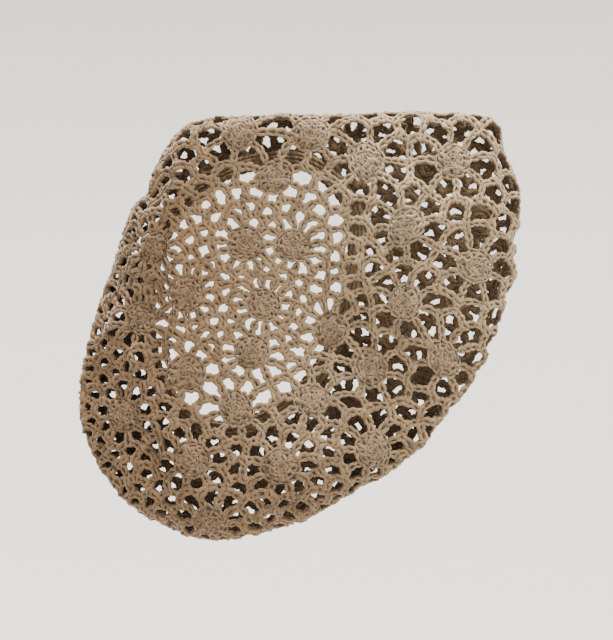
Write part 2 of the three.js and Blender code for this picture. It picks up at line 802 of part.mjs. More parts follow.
// The band: a closed strip whose outer edge follows the inner edge of the side at the clearance.
function bandGeometry(fabric, neighbour, turns) {
  const builder = new SolidBuilder();
  const outer = turns.map((turn) => {
    const gap = fabric.point(turn, 0).sub(neighbour.point(turn, 1));
    const { overPoint, underPoint } = wallPoints(neighbour, turn, 1);
    return cornerAt(builder, overPoint.add(gap), underPoint.add(gap));
  });
  const inner = turns.map((turn) => wallCorner(builder, fabric, turn, 1));
  turns.forEach((turn, i) => {
    const j = (i + 1) % turns.length;
    builder.face(outer[i].over, outer[j].over, inner[j].over);
    builder.face(outer[i].over, inner[j].over, inner[i].over);
    builder.face(outer[i].under, inner[j].under, outer[j].under);
    builder.face(outer[i].under, inner[i].under, inner[j].under);
    builder.wall(outer[i], outer[j]);
    builder.wall(inner[j], inner[i]);
  });
  return builder.geometry();
}

// Where a place of the picture lies on the crown, spread flat.
function spreadCrownPlace(row) {
  const place = placeOf(row).sub(crownMiddle);
  const turn = Math.atan2(place.z, place.x) / FULL_TURN;
  const across = Math.hypot(place.x, place.z);
  let low = 0;
  let high = 1;
  for (let i = 0; i < HALVINGS; i++) {
    const run = (low + high) / 2;
    const point = crown.point(turn, run);
    if (Math.hypot(point.x - crownMiddle.x, point.z - crownMiddle.z) < across) low = run;
    else high = run;
  }
  return crown.plane(turn, low);
}

const crown = new Fabric("crown");
const side = new Fabric("side");
const band = new Fabric("band");

const seamTurns = evenTurns(crown, 1, EDGE_STEP);
const bandTurns = evenTurns(side, 1, EDGE_STEP);
const crownEdge = edgeOf(crown, 1, seamTurns);
const sideOuterEdge = edgeOf(side, 0, seamTurns);
const sideInnerEdge = edgeOf(side, 1, bandTurns);
const flatPlaces = (edge) => edge.map((node) => node.flat);

const asSeed = (at) => ({ at, radius: ROSETTE_RADIUS + STRAND / 2 });
const crownRosettes = CROWN_ROSETTES.map((row) => asSeed(spreadCrownPlace(row)));
const sideRosettes = SIDE_ROSETTES.map((row) => asSeed(placeOf(row)));
const crownCells = layOut(crownRosettes, flatPlaces(crownEdge), null);
const sideCells = layOut(sideRosettes, flatPlaces(sideOuterEdge), flatPlaces(sideInnerEdge));

function named(name, geometry, color) {
  const material = new THREE.MeshStandardMaterial({ color, ...YARN_FINISH });
  const mesh = new THREE.Mesh(geometry, material);
  mesh.name = name;
  return mesh;
}

const beret = new THREE.Group();
beret.name = "crochet_beret";
beret.add(named("crown_net", netGeometry(crown, crownCells, [crownEdge]), YARN));
beret.add(named("side_net", netGeometry(side, sideCells, [sideOuterEdge, sideInnerEdge]), YARN));
beret.add(named("head_band", bandGeometry(band, side, bandTurns), BAND_YARN));
const rosettes = [
  ...crownRosettes.map((seed) => ({ fabric: crown, seed })),
  ...sideRosettes.map((seed) => ({ fabric: side, seed })),
];
rosettes.forEach(({ fabric, seed }, i) => {
  const name = "rosette_" + String(i + 1).padStart(2, "0");
  beret.add(named(name, rosetteGeometry(fabric, seed.at), ROSETTE_YARN));
});

export default beret;
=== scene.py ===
import math

import bpy
import numpy as np
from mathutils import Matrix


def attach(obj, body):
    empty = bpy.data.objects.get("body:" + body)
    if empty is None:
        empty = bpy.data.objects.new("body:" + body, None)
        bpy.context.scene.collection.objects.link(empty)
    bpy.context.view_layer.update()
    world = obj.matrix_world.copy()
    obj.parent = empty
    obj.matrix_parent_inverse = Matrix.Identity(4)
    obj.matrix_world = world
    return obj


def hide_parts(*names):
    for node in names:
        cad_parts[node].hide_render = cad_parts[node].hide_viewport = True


# An openwork crochet beret that hangs by its top fold, worked stitch by stitch over the frame's surface.
# Lengths are in millimetres until the meshes are made. X to the right, Y to the back, Z up.

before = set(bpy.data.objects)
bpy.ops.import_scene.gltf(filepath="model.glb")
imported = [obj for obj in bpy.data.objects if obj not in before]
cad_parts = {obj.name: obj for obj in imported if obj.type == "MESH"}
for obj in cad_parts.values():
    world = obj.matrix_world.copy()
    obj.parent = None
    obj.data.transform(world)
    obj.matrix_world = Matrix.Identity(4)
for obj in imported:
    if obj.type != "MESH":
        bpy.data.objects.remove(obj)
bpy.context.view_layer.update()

SEED = 7
METRES_PER_MM = 0.001
QUARTER_TURN = 90
XZ = [0, 2]
TINY = 1e-9

# The band's width, the fabric's wall, and how far the crown's flat part lies in front of the hang point
BAND_WIDTH = 11.0
WALL = 3.0
FLAT_FRONT = 13.0

# One chain stitch and its yarn
PITCH = 4.5
HALF_WIDTH = 1.5
HEIGHT = 0.95
YARN_RADIUS = 0.98
STITCH_RINGS = 12
YARN_SIDES = 5
TANGENT_STEP = 0.05
FIRST_NORMAL = (0.3, 0.2, 1.0)

# The net: width and height of its cells, least and largest size of the stitches of its strands, and how much
# fuller they are where the cells are small
CROWN_CELL = (18.0, 14.4)
SIDE_CELL = (9.6, 7.8)
CROWN_STRAND = (1.04, 1.3)
SIDE_STRAND = (1.15, 1.35)
FULLER = 0.36

# How the cells are laid out, in cells: spacing, tries for each, room past the edge and beside a rosette,
# how far a cell may reach, and how near two rosettes are linked
SEED_SPACING = 0.82
SEED_TRIES = 14
SEED_MARGIN = 1.5
SEED_ROOM = 0.34
CELL_REACH = 2.4
LINK_REACH = 1.2

# Rounds that even the cells out, and how far apart the rows of a net of regular cells lie, in cells
RELAX_ROUNDS = 4
HEXAGON = math.sin(math.radians(60))

# Strands: the shortest between joints and at an edge, how far they bow and how high they rise
SHORTEST_STRAND = 3.4
SHORTEST_END = 1.2
HALVINGS = 14
STRAND_POINTS = 7
BOW = 0.15
BOW_RANGE = (0.5, 1.3)
BOW_STRAY = 0.04
RELIEF = 1.3
RELIEF_RANGE = (-0.6, 1.0)

# Knots: direction in half turns, reach in pitches, height of the ends and of the middle, size
KNOT_DIRECTION = (0.2, 0.8)
KNOT_REACH = 0.62
KNOT_ENDS = 0.2
KNOT_LIFT = (0.2, 1.0)
KNOT_SIZE = (1.15, 1.4)

# Small swells of the limp fabric
WOBBLES = 5
WOBBLE = 0.32
SHORT_WOBBLE = 4.5
LONG_WOBBLE = 11.0
RIPPLES = 7
RIPPLE_HEIGHT = 1.3
SHORT_RIPPLE = 24.0
LONG_RIPPLE = 60.0

# Rosettes: how far they are out of round by two, three and five waves, and how much longer and shorter
# one is each way
ROSETTE_RADIUS = 11.6
ROSETTE_WEIGHT = 10.6
ROSETTE_KINDS = 5
ROSETTE_SIZES = (0.96, 1.05)
LONG_WAY = (1.0, 1.08)
SHORT_WAY = (0.92, 1.0)
OUT_OF_ROUND = (0.06, 0.05, 0.03)
DOME = 1.9
ROUND_POINTS = 66

# Rounds of chain in a rosette: the scalloped rim, the rounds under the tall stitches, the ridge and the hub
RIM_RADIUS = 10.4
SCALLOP = 0.7
RIM_LIFT = (-0.6, 0.3)
RIM_SIZE = 1.1
UNDER_ROUNDS = (5.4, 8.4)
UNDER_DROP = 1.4
RIDGE_RADIUS = 5.0
RIDGE_STRAY = (0.07, 0.05)
RIDGE_LIFT = (0.5, 0.4)
RIDGE_PHASE = 6.0
RIDGE_SIZE = 0.95
HUB_RADIUS = 1.4
HUB_LIFT = 0.1

# Tall stitches of a rosette, and how their two yarns twist and lean
POSTS = 11
INNER_POSTS = 7
POST_RINGS = 6
POST_TO = 9.8
POST_REACH = (0.93, 1.05)
POST_LEAN = 0.6
LEAN_SWAY = 1.6
TWIST_START = 0.1
TWIST = 0.9
TWIST_RISE = 0.6

# The two rounds of tall stitches: where they start, the spread of their yarns and its thickness at both ends,
# least and most height, least and most puff, and how far their directions stray, in stitches
INNER_ROUND = (1.2, (0.5, 0.95), (0.8, 0.9), (-0.3, 0.3), (0.0, 0.7), 0.25)
OUTER_ROUND = (RIDGE_RADIUS - 0.6, (0.8, 1.15), (0.85, 1.1), (-0.5, 0.3), (0.1, 1.2), 0.26)

# Rounds of the band, and the round that joins the crown to the side
BAND_ROWS = 4
BAND_SIZE = 1.16
JOIN_SIZE = 1.1

# Fineness of the surface that the stitches follow
MERIDIANS = 480
FOLD_STEPS = 14
FLAT_STEPS = 40
CURVE_POINTS = 24
CROWN_SAMPLES = 170
SIDE_SAMPLES = 120
BAND_SAMPLES = 12
PLACE_SAMPLES = 400
LOCATE_BATCH = 20000

# The shares of crown and side that their surfaces cover, the shares at their ends that don't ripple, and the
# number of rings round the crown's middle that share one normal
CROWN_COVER = (0, 1.06)
SIDE_COVER = (-0.12, 1.12)
CROWN_HELD = 0.12
SIDE_HELD = 0.15
POLE_RINGS = 6

# Places are read in picture pixels (px to the right, py down) and scaled to the real size.
MM_PER_PX = 0.66
HANG_POINT = (300, 120)
CROWN_MIDDLE = (300, 300)
HEAD_MIDDLE = (250, 292)

# Each net is made in two halves, which meet this far below the crown's middle.
SPLIT_BELOW = 4.0

# Where the crown's cells are smaller: round a middle, and past lines on the left and below, most at the fold
DENSE_MIDDLE = (246, 285)
DENSE_REACH = 102.0
DENSER = 0.5
TIGHT_LEFT = (-60.0, -110.0)
TIGHT_BELOW = (-165.0, -215.0)
TIGHTER = 0.24
TIGHT_EDGE = (0.84, 0.94)
EDGE_TIGHTER = 0.3

# The long crease, left of which the crown leans back
CREASE_PX = 178
CREASE_SLOPE = 0.62
CREASE_SOFT = 8.0

# Outer edge of the hanging beret: px, py
OUTLINE = [
    (183, 127), (205, 119), (240, 116), (286, 114), (340, 115), (395, 112), (455, 114), (485, 117),
    (498, 126), (503, 150), (514, 176), (519, 200), (516, 236), (516, 264), (508, 292), (499, 324),
    (484, 360), (460, 398), (440, 420), (421, 444), (388, 471), (340, 500), (302, 519), (262, 532),
    (212, 540), (170, 528), (127, 503), (98, 468), (81, 428), (78, 390), (86, 345), (100, 295),
    (118, 248), (131, 209), (147, 193), (155, 168), (168, 145),
]

# Edge of the head opening: px, py and y in millimetres behind the hang point
OPENING = [
    (347, 215, -4), (345, 275, -5), (324, 350, -5), (276, 404, -2), (215, 422, 8), (168, 385, 20),
    (152, 320, 26), (160, 258, 25), (190, 204, 19), (242, 172, 14), (305, 170, 9),
]

# The fold along the outline, by direction from the middle of the crown:
# degrees, depth of the edge, reach to the front, reach to the back, depth behind the fold,
# and how far round the fold the crown's last round lies, in degrees
FOLD = [
    (0, -24, 34, 20, -4, 50),
    (40, -10, 22, 12, 6, 30),
    (65, -2, 14, 11, 12, 14),
    (90, 0, 12, 11, 14, 12),
    (122, 1, 12, 11, 15, 12),
    (150, 14, 14, 12, 26, 14),
    (180, 23, 16, 13, 34, 16),
    (215, 16, 20, 15, 30, 20),
    (245, 4, 26, 18, 20, 34),
    (275, -7, 30, 20, 9, 45),
    (315, -16, 30, 20, 1, 50),
]

# Where the crown swells forward: px, py, across, down, forward
SWELLS = [
    (440, 262, 100, 126, 33),
    (318, 455, 122, 72, 18),
]

# Long soft folds in the crown: from px, py to px, py, width, height
SOFT_FOLDS = [
    (184, 140, 172, 425, 11, 3.0),
    (345, 140, 322, 345, 15, -2.5),
    (205, 235, 300, 420, 18, 2.5),
    (395, 190, 440, 400, 17, 3.0),
    (120, 330, 205, 500, 16, 3.0),
]

# Middles of the rosettes, in the order of their nodes: px, py
CROWN_ROSETTES = [
    (293, 246), (246, 244), (331, 329), (264, 305), (404, 229), (404, 302), (366, 162), (451, 163),
    (472, 267), (442, 358), (369, 367), (372, 449), (311, 399), (252, 352), (237, 408), (281, 464),
    (187, 373), (193, 458), (187, 294), (275, 178), (311, 134), (239, 132), (155, 247), (143, 318),
    (211, 520), (125, 415),
]
SIDE_ROSETTES = [
    (428, 168), (405, 238), (480, 222), (398, 318), (458, 298), (420, 380), (345, 408), (350, 464),
    (268, 478), (196, 492), (132, 446),
]

# Light and dark tone of the yarn in each material slot
YARN_TONES = {
    "yarn": ((0.335, 0.238, 0.138), (0.105, 0.07, 0.035)),
    "band_yarn": ((0.32, 0.226, 0.13), (0.105, 0.07, 0.035)),
    "rosette_yarn": ((0.325, 0.232, 0.146), (0.105, 0.07, 0.038)),
}

# Finish of the yarn: its gloss and sheen, the scale of its patches and fibres, and its fuzz
ROUGHNESS = 0.85
SPECULAR = 0.25
SHEEN = 0.35
SHEEN_ROUGHNESS = 0.5
SHEEN_TINT = (1.0, 0.93, 0.84)
PATCH_SCALE = 120
PATCH_DETAIL = 3
PATCH_SHARE = 0.55
FIBRE_SCALE = 900
FIBRE_DETAIL = 4
FIBRE_ROUGHNESS = 0.7
FIBRE_SHARE = 0.5
TONE_RANGE = (0.3, 0.72)
FUZZ = 0.5
FUZZ_DEPTH = 0.0003

# Painted shade, browner and darker, towards the left where the crown leans back and towards the bottom: its
# colour, and where it starts and where it is full, in metres
PAINTED_SHADE_TINT = (0.58, 0.485, 0.40)
PAINTED_SHADE_LEFT = (0.06, -0.085)
PAINTED_SHADE_BELOW = (-0.13, -0.27)

# Painted shade by height over the fabric, multiplied into the yarn's colour: the inner side of the stitches,
# their tops, and the flanks between
PAINTED_SHADES = (
    (0.05, (0.42, 0.345, 0.26)),
    (0.82, (1, 1, 1)),
    (0.48, (0.45, 0.38, 0.305)),
)

# The floor, in metres
FLOOR_DEPTH = -0.9
FLAT_REACH = 3.5
CURVE = 3.5
CURVE_STEPS = 16
FLOOR_RIM = 1.0
FLOOR_SIDES = 96
FLOOR_COLOR = (0.38, 0.368, 0.348)
FLOOR_ROUGHNESS = 0.9

# Suns: name, direction that the light comes from, strength, spread in degrees, colour
SUNS = (
    ("key", (0.4, -0.5, 1.0), 7.4, 12, (1.0, 0.97, 0.91)),
    ("top", (-0.1, 0.15, 1.0), 12.0, 20, (1.0, 0.98, 0.94)),
    ("back", (-0.5, 0.9, 0.7), 4.0, 40, (1.0, 0.97, 0.93)),
)
STUDIO_COLOR = (1.0, 0.985, 0.96)
STUDIO_STRENGTH = 0.45

# The picture in pixels, the camera's distance in metres and its sensor in millimetres
IMAGE = (613, 640)
DISTANCE = 2.4
SENSOR = 36.0

rng = np.random.RandomState(SEED)


# Surface of the fabric

def place(px, py, y=0.0):
    return np.array([(px - HANG_POINT[0]) * MM_PER_PX, y, (HANG_POINT[1] - py) * MM_PER_PX])


def closed_curve(points):
    """A smooth closed curve through the points."""
    pieces = []
    count = len(points)
    t = np.linspace(0, 1, CURVE_POINTS, endpoint=False)[:, None]
    for i in range(count):
        p0, p1, p2, p3 = (points[(i + k) % count] for k in (-1, 0, 1, 2))
        d0, d1, d2 = (math.sqrt(np.linalg.norm(b - a)) for a, b in ((p0, p1), (p1, p2), (p2, p3)))
        m1 = ((p1 - p0) / d0 - (p2 - p0) / (d0 + d1) + (p2 - p1) / d1) * d1
        m2 = ((p2 - p1) / d1 - (p3 - p1) / (d1 + d2) + (p3 - p2) / d2) * d1
        a = (2 * t ** 3 - 3 * t ** 2 + 1) * p1 + (t ** 3 - 2 * t ** 2 + t) * m1
        b = (-2 * t ** 3 + 3 * t ** 2) * p2 + (t ** 3 - t ** 2) * m2
        pieces.append(a + b)
    return np.concatenate(pieces)


def cross_loop(loop, middle, ray):
    """Where a ray from a middle, in the X-Z plane, crosses a closed loop."""
    ahead = np.roll(loop, -1, axis=0)
    before = ray[0] * (loop[:, 2] - middle[2]) - ray[2] * (loop[:, 0] - middle[0])
    after = ray[0] * (ahead[:, 2] - middle[2]) - ray[2] * (ahead[:, 0] - middle[0])
    for i in np.nonzero(before * after <= 0)[0]:
        hit = loop[i] + (ahead[i] - loop[i]) * before[i] / (before[i] - after[i])
        if (hit - middle) @ ray > 0:
            return hit
    raise ValueError("the loop does not surround its middle")


def smooth(share):
    share = np.clip(share, 0, 1)
    return share * share * (3 - 2 * share)


def fold_at(column, angle):
    """A column of the fold's table, between its rows."""
    deg = math.degrees(angle) % 360
    rows = FOLD + [(360,) + FOLD[0][1:]]
    i = max(k for k, row in enumerate(rows[:-1]) if row[0] <= deg)
    ease = smooth((deg - rows[i][0]) / (rows[i + 1][0] - rows[i][0]))
    return rows[i][column] + (rows[i + 1][column] - rows[i][column]) * ease


def bell(squared):
    return np.where(squared < 1, (1 - squared) ** 2, 0.0)


def crown_y(x, z):
    """Depth of the crown away from its edge."""
    y = np.full_like(x, -FLAT_FRONT)
    for px, py, across, down, forward in SWELLS:
        middle = place(px, py)
        y -= forward * bell(((x - middle[0]) / across) ** 2 + ((z - middle[2]) / down) ** 2)
    for from_px, from_py, to_px, to_py, width, height in SOFT_FOLDS:
        start = place(from_px, from_py)
        along = place(to_px, to_py) - start
        share = ((x - start[0]) * along[0] + (z - start[2]) * along[2]) / (along @ along)
        share = np.clip(share, 0, 1)
        away = (x - start[0] - along[0] * share) ** 2 + (z - start[2] - along[2] * share) ** 2
        y -= height * bell(away / width ** 2)
    past = np.maximum(0, place(CREASE_PX, 0)[0] - x)
    return y + CREASE_SLOPE * past * past / (past + CREASE_SOFT)


crown_middle = place(*CROWN_MIDDLE)
head_middle = place(*HEAD_MIDDLE)
outline_loop = closed_curve([place(*row) for row in OUTLINE])
opening_loop = closed_curve([place(*row) for row in OPENING])


def meridian(angle):
    """One line over the fabric, from the middle of the crown round the fold to the head opening."""
    ray = np.array([math.cos(angle), 0, math.sin(angle)])
    outer = cross_loop(outline_loop, crown_middle, ray)
    edge = outer - ray * WALL / 2
    opening = cross_loop(opening_loop, head_middle, ray)
    band_edge = opening + ray * BAND_WIDTH
    inward = (band_edge - edge) * (1, 0, 1)
    width = np.linalg.norm(inward)
    inward /= width
    reach = np.linalg.norm((edge - crown_middle)[XZ])
    fold_y, front, back, back_y, join_turn = (fold_at(column, angle) for column in range(1, 6))

    def crown_points(from_edge, turn):
        x = edge[0] - ray[0] * from_edge
        z = edge[2] - ray[2] * from_edge
        return np.stack([x, fold_y - (fold_y - crown_y(x, z)) * turn, z], axis=1)

    def side_points(from_edge, turn):
        settled = back_y + (opening[1] - back_y) * smooth(from_edge / width)
        x = edge[0] + inward[0] * from_edge
        z = edge[2] + inward[2] * from_edge
        return np.stack([x, fold_y + (settled - fold_y) * turn, z], axis=1)

    flat = np.arange(FLAT_STEPS) / FLAT_STEPS
    turn = np.radians(QUARTER_TURN) * np.arange(FOLD_STEPS + 1) / FOLD_STEPS
    points = np.concatenate([
        crown_points(reach + (front - reach) * flat, np.ones(FLAT_STEPS)),
        crown_points(front * (1 - np.cos(turn[::-1])), np.sin(turn[::-1])),
        side_points(back * (1 - np.cos(turn[1:])), np.sin(turn[1:])),
        side_points(back + (width - back) * (flat + 1 / FLAT_STEPS), np.ones(FLAT_STEPS)),
        opening[None],
    ])
    lengths = np.concatenate([[0], np.cumsum(np.linalg.norm(np.diff(points, axis=0), axis=1))])
    join_step = FLAT_STEPS + FOLD_STEPS + FOLD_STEPS * join_turn / QUARTER_TURN
    join = np.interp(join_step, np.arange(len(lengths)), lengths)
    return points, lengths, join, inward, band_edge


angles = 2 * math.pi * np.arange(MERIDIANS) / MERIDIANS
lines = [meridian(angle) for angle in angles]
joins = np.array([line[2] for line in lines])
band_edges = np.array([line[1][-2] for line in lines])
ends = np.array([line[1][-1] for line in lines])
inwards = np.array([line[3][XZ] for line in lines])
band_places = np.array([line[4][XZ] for line in lines])


def along_lines(starts, stops, shares):
    """Points on every meridian at shares of the stretch from starts to stops."""
    grid = np.empty((MERIDIANS, len(shares), 3))
    for k, (points, lengths, *unused) in enumerate(lines):
        at = starts[k] + (stops[k] - starts[k]) * shares
        for axis in range(3):
            grid[k, :, axis] = np.interp(at, lengths, points[:, axis])
    return grid


def unit(vectors):
    return vectors / np.maximum(np.linalg.norm(vectors, axis=-1, keepdims=True), TINY)


def left_of(way, away):
    """More than nothing where a place lies left of a way, in the flat plane."""
    return way[:, 0] * away[:, 1] - way[:, 1] * away[:, 0]


def join_at(turn):
    """Length over the crown, from its middle to its last round, at a turn from 0 to 1."""
    return np.interp(turn, np.arange(MERIDIANS + 1) / MERIDIANS, np.append(joins, joins[0]))


class Fabric:
    """A stretch of the fabric as a grid of points, with a plane where it is spread flat."""

    def __init__(self, starts, stops, low, high, samples):
        self.low = low
        self.high = high
        self.grid = along_lines(starts, stops, np.linspace(low, high, samples))
        round_it = np.roll(self.grid, -1, axis=0) - np.roll(self.grid, 1, axis=0)
        along = np.gradient(self.grid, axis=1)
        self.normals = unit(np.cross(along, round_it))

    def sample(self, turn, share):
        """Points and normals at turns (0 to 1) and shares of the stretch."""
        rows = np.mod(turn, 1) * MERIDIANS
        k = np.floor(rows).astype(int) % MERIDIANS
        f = (rows - np.floor(rows))[:, None]
        samples = self.grid.shape[1]
        columns = np.clip((share - self.low) / (self.high - self.low), 0, 1) * (samples - 1)
        j = np.minimum(columns.astype(int), samples - 2)
        g = (columns - j)[:, None]
        ahead = (k + 1) % MERIDIANS
        blended = []
        for grid in (self.grid, self.normals):
            near = grid[k, j] * (1 - g) + grid[k, j + 1] * g
            far = grid[ahead, j] * (1 - g) + grid[ahead, j + 1] * g
            blended.append(near * (1 - f) + far * f)
        return blended[0], unit(blended[1])


class Crown(Fabric):
    """Spread flat from its middle: a place lies in its own direction, at its length along the fabric."""

    def __init__(self):
        super().__init__(np.zeros(MERIDIANS), joins, *CROWN_COVER, CROWN_SAMPLES)
        self.normals[:, :POLE_RINGS] = unit(self.normals[:, POLE_RINGS].mean(axis=0))
        ways = np.stack([np.cos(angles), np.sin(angles)], axis=1)
        self.edge = crown_middle[XZ] + ways * joins[:, None]

    def looseness(self, share):
        """How freely the fabric ripples: not at the fold."""
        return smooth((1 - share) / CROWN_HELD)

    def locate(self, flat):
        """Turns and shares of places in the flat plane."""
        away = flat - crown_middle[XZ]
        turn = np.arctan2(away[:, 1], away[:, 0]) / (2 * math.pi) % 1
        return turn, np.hypot(away[:, 0], away[:, 1]) / join_at(turn)


class Side(Fabric):
    """Spread flat outward from the edge of the band."""

    def __init__(self):
        super().__init__(joins, band_edges, *SIDE_COVER, SIDE_SAMPLES)
        self.inner = band_places
        self.edge = band_places - inwards * (band_edges - joins)[:, None]

    def looseness(self, share):
        """How freely the fabric ripples: not at the fold or the band."""
        return smooth(share / SIDE_HELD) * smooth((1 - share) / SIDE_HELD)

    def locate(self, flat):
        """Turns and shares of places in the flat plane, between the two nearest lines."""
        turn = np.empty(len(flat))
        share = np.empty(len(flat))
        along = self.inner - self.edge
        squared = (along ** 2).sum(axis=1)
        for first in range(0, len(flat), LOCATE_BATCH):
            batch = slice(first, first + LOCATE_BATCH)
            part = flat[batch]
            away = part[:, None] - self.edge[None]
            t = np.clip((away * along).sum(axis=2) / squared, 0, 1)
            gap = ((away - along * t[..., None]) ** 2).sum(axis=2)
            k = gap.argmin(axis=1)
            k = np.where(left_of(along[k], part - self.edge[k]) <= 0, k, (k - 1) % MERIDIANS)
            after = (k + 1) % MERIDIANS
            before = left_of(along[k], part - self.edge[k])
            beyond = left_of(along[after], part - self.edge[after])
            f = np.clip(before / np.where(before == beyond, 1, before - beyond), 0, 1)[:, None]
            start = self.edge[k] * (1 - f) + self.edge[after] * f
            way = along[k] * (1 - f) + along[after] * f
            turn[batch] = (k + f[:, 0]) / MERIDIANS
            share[batch] = ((part - start) * way).sum(axis=1) / (way ** 2).sum(axis=1)
        return turn, share


def random_waves(count, shortest, longest):
    """Waves over the flat plane, each in a direction and of a length of its own."""
    waves = []
    for unused in range(count):
        way = rng.uniform(0, 2 * math.pi)
        length = rng.uniform(shortest, longest)
        wave = np.array([math.cos(way), math.sin(way)]) * 2 * math.pi / length
        waves.append((wave, rng.uniform(0, 2 * math.pi)))
    return waves


def waves_at(waves, flat):
    return sum(np.sin(flat @ wave + phase) for wave, phase in waves) / math.sqrt(len(waves))


RIPPLE_WAVES = random_waves(RIPPLES, SHORT_RIPPLE, LONG_RIPPLE)
WOBBLE_WAVES = [random_waves(WOBBLES, SHORT_WOBBLE, LONG_WOBBLE) for unused in range(3)]


def onto(fabric, flat_points):
    """Bends points of the flat plane, with their height over it, onto the fabric, a little out of true."""
    flat = flat_points[:, :2]
    astray = WOBBLE * np.stack([waves_at(waves, flat) for waves in WOBBLE_WAVES], axis=1)
    turn, share = fabric.locate(flat + astray[:, :2])
    point, normal = fabric.sample(turn, share)
    height = flat_points[:, 2] + astray[:, 2]
    height += RIPPLE_HEIGHT * waves_at(RIPPLE_WAVES, flat) * fabric.looseness(share)
    return point + normal * height[:, None]


# Stitches

# One chain stitch as the way of its yarn: along in pitches, across in half widths, up in heights
STITCH = np.array([
    (0.00, 0.22, -0.2), (0.25, 0.55, 0.5), (0.65, 1.00, 0.55), (1.05, 0.85, -0.1), (1.30, 0.00, -0.5),
    (1.05, -0.85, -0.1), (0.65, -1.00, 0.55), (0.25, -0.55, 0.5), (0.00, -0.22, -0.2), (0.20, -0.10, -0.9),
    (0.70, 0.10, -1.0),
])


def through(points, at):
    """Points of a smooth curve through control points, at control numbers; the row repeats one pitch on."""
    count = len(points)

    def control(i):
        return points[i % count] + np.outer(i // count, (1, 0, 0))

    i = np.floor(at).astype(int)
    t = (at - i)[:, None]
    p0, p1, p2, p3 = (control(i + k) for k in (-1, 0, 1, 2))
    return 0.5 * (2 * p1 + (p2 - p0) * t + (2 * p0 - 5 * p1 + 4 * p2 - p3) * t ** 2
                  + (3 * p1 - p0 - 3 * p2 + p3) * t ** 3)


def ring_directions(tangents, closing_turn=True):
    """Directions round a tube at each of its rings, turned as little as possible from one to the next."""
    normal = np.cross(tangents[0], FIRST_NORMAL)
    normals = []
    for tangent in tangents:
        normal = normal - tangent * (normal @ tangent)
        normal = normal / np.linalg.norm(normal)
        normals.append(normal)
    normals = np.array(normals)
    binormals = np.cross(tangents, normals)
    if closing_turn:
        last = normals[-1]
        first = normals[0] - tangents[-1] * (normals[0] @ tangents[-1])
        turn = math.atan2(first @ binormals[-1], first @ last)
        spread = turn * np.arange(len(tangents)) / (len(tangents) - 1)
        cos, sin = np.cos(spread)[:, None], np.sin(spread)[:, None]
        normals, binormals = normals * cos + binormals * sin, binormals * cos - normals * sin
    phi = 2 * math.pi * np.arange(YARN_SIDES) / YARN_SIDES
    return normals[:, None] * np.cos(phi)[:, None] + binormals[:, None] * np.sin(phi)[:, None]


def stitch_rings():
    """The rings of one chain stitch, which the next one follows on."""
    scale = np.array([PITCH, HALF_WIDTH, HEIGHT])
    at = np.arange(STITCH_RINGS + 1) * len(STITCH) / STITCH_RINGS
    centres = through(STITCH, at) * scale
    tangents = unit((through(STITCH, at + TANGENT_STEP) - through(STITCH, at - TANGENT_STEP)) * scale)
    return centres[:, None] + ring_directions(tangents) * YARN_RADIUS


ONE_STITCH = stitch_rings()


class Mesh:
    """Vertices and faces gathered from many tubes."""

    def __init__(self):
        self.vertices = []
        self.heights = []
        self.quads = []
        self.caps = []
        self.count = 0

    def tube(self, rings, heights, closed=False):
        total, sides = rings.shape[:2]
        ring = np.arange(total if closed else total - 1)[:, None] * sides
        after = (ring + sides) % (total * sides)
        side = np.arange(sides)[None]
        turned = (side + 1) % sides
        quads = np.stack([ring + side, ring + turned, after + turned, after + side], axis=2)
        self.quads.append(quads.reshape(-1, 4) + self.count)
        if not closed:
            last = (total - 1) * sides + self.count
            self.caps.append(self.count + np.arange(sides)[::-1])
            self.caps.append(last + np.arange(sides))
        self.vertices.append(rings.reshape(-1, 3))
        self.heights.append(heights.ravel() / (HEIGHT + YARN_RADIUS))
        self.count += total * sides

    def bent(self, bend):
        """The same mesh with its vertices moved by a function."""
        other = Mesh()
        other.vertices = [bend(np.concatenate(self.vertices))]
        other.heights = self.heights
        other.quads = self.quads
        other.caps = self.caps
        other.count = self.count
        return other

    def build(self, name, material):
        vertices = np.concatenate(self.vertices) * METRES_PER_MM
        quads = np.concatenate(self.quads)
        caps = np.array(self.caps, dtype=int).reshape(-1, YARN_SIDES)
        mesh = bpy.data.meshes.new(name)
        mesh.vertices.add(len(vertices))
        mesh.vertices.foreach_set("co", vertices.ravel())
        corners = np.concatenate([quads.ravel(), caps.ravel()])
        mesh.loops.add(len(corners))
        mesh.loops.foreach_set("vertex_index", corners)
        cap_starts = quads.size + YARN_SIDES * np.arange(len(caps))
        starts = np.concatenate([4 * np.arange(len(quads)), cap_starts])
        mesh.polygons.add(len(starts))
        mesh.polygons.foreach_set("loop_start", starts)
        mesh.polygons.foreach_set("use_smooth", np.ones(len(starts), dtype=bool))
        mesh.update(calc_edges=True)
        # the height over the fabric, which the yarn materials turn into painted shade
        raised = mesh.attributes.new("raised", "FLOAT", "POINT")
        raised.data.foreach_set("value", np.concatenate(self.heights))
        mesh.materials.append(material)
        obj = bpy.data.objects.new(name, mesh)
        bpy.context.collection.objects.link(obj)
        return obj


